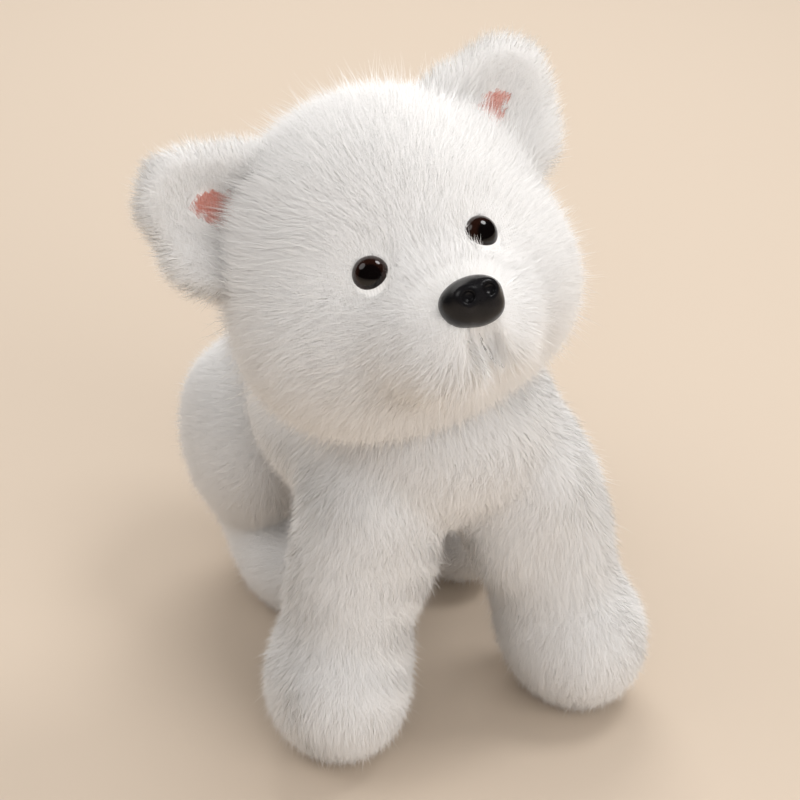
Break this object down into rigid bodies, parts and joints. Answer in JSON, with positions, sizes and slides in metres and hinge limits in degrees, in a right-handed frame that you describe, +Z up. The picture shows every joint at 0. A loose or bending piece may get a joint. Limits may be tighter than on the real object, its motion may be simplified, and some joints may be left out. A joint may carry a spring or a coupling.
{
  "type": "plush dog",
  "caption": "White long-pile plush puppy on four legs: head turns on a neck disc, legs flex at sewn roots, ears fold and a short tail wags.",
  "frame": {"origin": "middle of the whole object's footprint box, on the floor that the four soles rest on", "axes": "+Z up, the dog looks along -Y, its left side is +X"},
  "size_m": [0.1802, 0.2428, 0.2557],
  "materials": {
    "white_plush": "long soft pile, combed back",
    "pink_plush": "short soft pile",
    "fibre_fill": "loose polyester fibre",
    "eye_plastic": "polished black dome",
    "nose_plastic": "satin moulded black",
    "nylon": "moulded natural nylon",
    "thread": "twisted polyester thread"
  },
  "bodies": {
    "torso": {"torso_skin": "white_plush", "torso_stuffing": "fibre_fill", "belly_closing_stitch": "thread", "neck_plate": "nylon", "neck_lock_washer": "nylon"},
    "head": {"head_skin": "white_plush", "head_stuffing": "fibre_fill", "eye_left": "eye_plastic", "eye_washer_left": "nylon", "eye_right": "eye_plastic", "eye_washer_right": "nylon", "nose": "nose_plastic", "nose_washer": "nylon", "mouth_stitch": "thread", "neck_disc": "nylon"},
    "ear_left": {"ear_left_back": "white_plush", "ear_left_lining": "pink_plush"},
    "ear_right": {"ear_right_back": "white_plush", "ear_right_lining": "pink_plush"},
    "leg_front_left": {"leg_front_left_skin": "white_plush", "leg_front_left_stuffing": "fibre_fill"},
    "leg_front_right": {"leg_front_right_skin": "white_plush", "leg_front_right_stuffing": "fibre_fill"},
    "leg_hind_left": {"leg_hind_left_skin": "white_plush", "leg_hind_left_stuffing": "fibre_fill"},
    "leg_hind_right": {"leg_hind_right_skin": "white_plush", "leg_hind_right_stuffing": "fibre_fill"},
    "tail": {"tail_skin": "white_plush", "tail_stuffing": "fibre_fill"}
  },
  "joints": [
    {"name": "head_turn", "type": "hinge", "parent": "torso", "child": "head", "pos_m": [-0.0059, -0.04455, 0.19], "axis": [-0.2057, -0.2373, 0.9494], "range_deg": [-30, 30]},
    {"name": "ear_left_fold", "type": "hinge", "parent": "head", "child": "ear_left", "pos_m": [0.03837, -0.02549, 0.22804], "axis": [0.8995, -0.1563, -0.408], "range_deg": [-15, 15], "stiffness_Nm_per_rad": 0.06},
    {"name": "ear_right_fold", "type": "hinge", "parent": "head", "child": "ear_right", "pos_m": [-0.06256, -0.03131, 0.20962], "axis": [0.6748, 0.2472, 0.6954], "range_deg": [-15, 15], "stiffness_Nm_per_rad": 0.06},
    {"name": "leg_front_left_swing", "type": "hinge", "parent": "torso", "child": "leg_front_left", "pos_m": [0.0481, -0.04555, 0.095], "axis": [1, 0, 0], "range_deg": [-12, 12], "stiffness_Nm_per_rad": 1},
    {"name": "leg_front_right_swing", "type": "hinge", "parent": "torso", "child": "leg_front_right", "pos_m": [-0.0179, -0.04555, 0.095], "axis": [1, 0, 0], "range_deg": [-12, 12], "stiffness_Nm_per_rad": 1},
    {"name": "leg_hind_left_swing", "type": "hinge", "parent": "torso", "child": "leg_hind_left", "pos_m": [0.0601, 0.06245, 0.067], "axis": [1, 0, 0], "range_deg": [-12, 12], "stiffness_Nm_per_rad": 1},
    {"name": "leg_hind_right_swing", "type": "hinge", "parent": "torso", "child": "leg_hind_right", "pos_m": [-0.0299, 0.06245, 0.067], "axis": [1, 0, 0], "range_deg": [-12, 12], "stiffness_Nm_per_rad": 1},
    {"name": "tail_wag", "type": "hinge", "parent": "torso", "child": "tail", "pos_m": [0.0151, 0.09645, 0.126], "axis": [0, 0.8486, -0.5291], "range_deg": [-20, 20], "stiffness_Nm_per_rad": 0.06}
  ]
}
